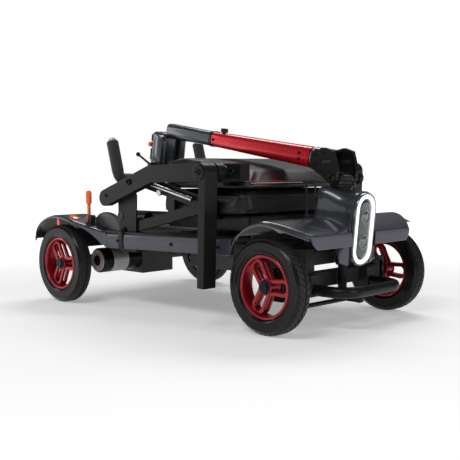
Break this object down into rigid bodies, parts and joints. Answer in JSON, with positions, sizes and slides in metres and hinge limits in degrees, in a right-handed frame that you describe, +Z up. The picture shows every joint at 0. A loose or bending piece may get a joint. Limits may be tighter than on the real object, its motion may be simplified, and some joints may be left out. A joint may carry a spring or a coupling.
{
  "type": "mobility scooter",
  "caption": "Folding travel mobility scooter, stored folded: tiller down over stacked seat and backrest, with steering, fold linkage and four wheels.",
  "frame": {"origin": "on the ground, under the middle of the whole length, on the centre plane", "axes": "+X forward, +Y the rider's left, +Z up"},
  "size_m": [0.906, 0.552, 0.4616],
  "materials": {
    "frame": "satin black powder coat",
    "body_panel": "glossy metallic charcoal",
    "skirt_panel": "satin slate blue-grey",
    "liner": "matt olive-grey",
    "rear_lamp": "glossy red",
    "lamp_light": "luminous white",
    "lamp_glass": "smoked clear",
    "bezel": "glossy black",
    "battery_case": "matt black",
    "alloy": "cast",
    "tyre": "solid rubber",
    "rim_red": "metallic red",
    "black_plastic": "satin black",
    "steel": "zinc plated",
    "tiller_red": "metallic red",
    "grip_foam": "soft foam",
    "vinyl": "glossy black vinyl",
    "horn_yellow": "glossy amber",
    "lever_orange": "glossy orange",
    "cable": "matt black"
  },
  "bodies": {
    "chassis": {"frame_rails": "frame", "front_subframe": "frame", "floor_pan": "body_panel", "side_skirts": "skirt_panel", "front_wing": "body_panel", "fender_liners": "liner", "rear_cover": "body_panel", "rear_lights": "rear_lamp", "nose_cowl": "body_panel", "lamp_ring": "lamp_light", "lamp_bezel": "bezel", "lamp_lens": "lamp_glass", "bumper": "frame", "pivot_plates": "frame", "battery": "battery_case", "controller": "alloy", "motor": "frame", "gearbox": "alloy", "cable_loop": "cable"},
    "front_right_wheel": {"front_right_tyre": "tyre", "front_right_rim": "rim_red", "front_right_cap": "black_plastic"},
    "front_left_wheel": {"front_left_tyre": "tyre", "front_left_rim": "rim_red", "front_left_cap": "black_plastic"},
    "rear_right_wheel": {"rear_right_tyre": "tyre", "rear_right_rim": "rim_red", "rear_right_cap": "black_plastic", "rear_right_shaft": "steel"},
    "rear_left_wheel": {"rear_left_tyre": "tyre", "rear_left_rim": "rim_red", "rear_left_cap": "black_plastic", "rear_left_shaft": "steel"},
    "right_knuckle": {"right_knuckle": "frame"},
    "left_knuckle": {"left_knuckle": "frame"},
    "track_rod": {"track_rod": "alloy"},
    "steering": {"steering_stem": "steel", "hinge_yoke": "frame"},
    "tiller": {"hinge_cheeks": "frame", "base_collar": "alloy", "lower_tube": "tiller_red"},
    "clamp_knob": {"clamp_knob": "black_plastic"},
    "tiller_head": {"upper_tube": "body_panel", "head_pod": "body_panel", "handlebar": "frame", "grips": "grip_foam"},
    "brake_lever": {"brake_lever": "steel"},
    "throttle": {"throttle_paddle": "black_plastic"},
    "horn_button": {"horn_button": "horn_yellow"},
    "key": {"key_switch": "steel"},
    "lift": {"lift_links": "frame"},
    "seat": {"seat_frame": "frame", "seat_cushion": "vinyl"},
    "backrest": {"backrest_arms": "frame", "backrest_cushion": "vinyl"},
    "right_arm": {"right_armrest": "frame"},
    "left_arm": {"left_armrest": "frame"},
    "actuator": {"actuator_barrel": "battery_case"},
    "actuator_rod": {"actuator_rod": "steel"},
    "freewheel": {"freewheel_lever": "lever_orange"}
  },
  "joints": [
    {"name": "tiller_fold", "type": "hinge", "parent": "steering", "child": "tiller", "pos_m": [0.355, 0, 0.319], "axis": [0, 1, 0], "range_deg": [0, 68]},
    {"name": "lift_swing", "type": "hinge", "parent": "chassis", "child": "lift", "pos_m": [-0.144, 0, 0.194], "axis": [0, -1, 0], "range_deg": [0, 57.01]},
    {"name": "seat_level", "type": "hinge", "parent": "lift", "child": "seat", "pos_m": [0.13901, 0, 0.25799], "axis": [0, 1, 0], "range_deg": [0, 57.01]},
    {"name": "backrest_fold", "type": "hinge", "parent": "seat", "child": "backrest", "pos_m": [-0.096, 0, 0.311], "axis": [0, -1, 0], "range_deg": [0, 8.01]},
    {"name": "actuator_tilt", "type": "hinge", "parent": "chassis", "child": "actuator", "pos_m": [-0.311, 0, 0.215], "axis": [0, -1, 0], "range_deg": [0, 19.64]},
    {"name": "actuator_draw", "type": "slide", "parent": "actuator", "child": "actuator_rod", "axis": [-1, 0, -0.004], "range_m": [0, 0.05027]},
    {"name": "steer", "type": "hinge", "parent": "chassis", "child": "steering", "pos_m": [0.355, 0, 0.2], "axis": [0, 0, 1], "range_deg": [-20, 20]},
    {"name": "right_kingpin", "type": "hinge", "parent": "chassis", "child": "right_knuckle", "pos_m": [0.32675, -0.16, 0.1], "axis": [0, 0, 1], "range_deg": [-20.01, 20.01]},
    {"name": "left_kingpin", "type": "hinge", "parent": "chassis", "child": "left_knuckle", "pos_m": [0.32675, 0.16, 0.1], "axis": [0, 0, 1], "range_deg": [-20.01, 20.01]},
    {"name": "track_rod_joint", "type": "hinge", "parent": "right_knuckle", "child": "track_rod", "pos_m": [0.37175, -0.16, 0.057], "axis": [0, 0, 1], "range_deg": [-20.01, 20.01]},
    {"name": "front_right_spin", "type": "hinge", "parent": "right_knuckle", "child": "front_right_wheel", "pos_m": [0.32675, -0.2095, 0.1], "axis": [0, 1, 0], "continuous": true},
    {"name": "front_left_spin", "type": "hinge", "parent": "left_knuckle", "child": "front_left_wheel", "pos_m": [0.32675, 0.2095, 0.1], "axis": [0, 1, 0], "continuous": true},
    {"name": "rear_right_spin", "type": "hinge", "parent": "chassis", "child": "rear_right_wheel", "pos_m": [-0.34875, -0.2525, 0.1], "axis": [0, 1, 0], "continuous": true},
    {"name": "rear_left_spin", "type": "hinge", "parent": "chassis", "child": "rear_left_wheel", "pos_m": [-0.34875, 0.2525, 0.1], "axis": [0, 1, 0], "continuous": true},
    {"name": "tiller_extend", "type": "slide", "parent": "tiller", "child": "tiller_head", "axis": [-0.9877, 0, 0.1564], "range_m": [0, 0.06]},
    {"name": "clamp_knob_turn", "type": "hinge", "parent": "tiller", "child": "clamp_knob", "pos_m": [-0.00995, 0, 0.43755], "axis": [0.1564, 0, 0.9877], "continuous": true},
    {"name": "brake_squeeze", "type": "hinge", "parent": "tiller_head", "child": "brake_lever", "pos_m": [-0.2299, -0.05, 0.35291], "axis": [0, 1, 0], "range_deg": [0, 12], "stiffness_Nm_per_rad": 0.5},
    {"name": "throttle_press", "type": "hinge", "parent": "tiller_head", "child": "throttle", "pos_m": [-0.24132, 0.05, 0.38307], "axis": [0, -1, 0], "range_deg": [0, 15], "stiffness_Nm_per_rad": 0.5},
    {"name": "horn_press", "type": "slide", "parent": "tiller_head", "child": "horn_button", "axis": [0.9877, 0, -0.1564], "range_m": [0, 0.003], "stiffness_N_per_m": 400},
    {"name": "key_turn", "type": "hinge", "parent": "tiller_head", "child": "key", "pos_m": [-0.27572, 0.018, 0.40877], "axis": [-0.9877, 0, 0.1564], "range_deg": [0, 90]},
    {"name": "right_armrest_flip", "type": "hinge", "parent": "backrest", "child": "right_arm", "pos_m": [0.191, -0.258, 0.334], "axis": [0, -1, 0], "range_deg": [0, 90]},
    {"name": "left_armrest_flip", "type": "hinge", "parent": "backrest", "child": "left_arm", "pos_m": [0.191, 0.258, 0.334], "axis": [0, -1, 0], "range_deg": [0, 90]},
    {"name": "freewheel_shift", "type": "hinge", "parent": "chassis", "child": "freewheel", "pos_m": [-0.273, -0.226, 0.218], "axis": [0, 1, 0], "range_deg": [0, 25]}
  ],
  "couplings": [
    {"joint": "lift_swing", "follows": "tiller_fold", "ratio": 0.83823},
    {"joint": "seat_level", "follows": "tiller_fold", "ratio": 0.83823},
    {"joint": "backrest_fold", "follows": "tiller_fold", "ratio": 0.11765},
    {"joint": "actuator_tilt", "follows": "tiller_fold", "ratio": 0.28865},
    {"joint": "actuator_draw", "follows": "tiller_fold", "m_per_rad": 0.04227},
    {"joint": "right_kingpin", "follows": "steer", "ratio": 1},
    {"joint": "left_kingpin", "follows": "steer", "ratio": 1},
    {"joint": "track_rod_joint", "follows": "steer", "ratio": -1}
  ]
}
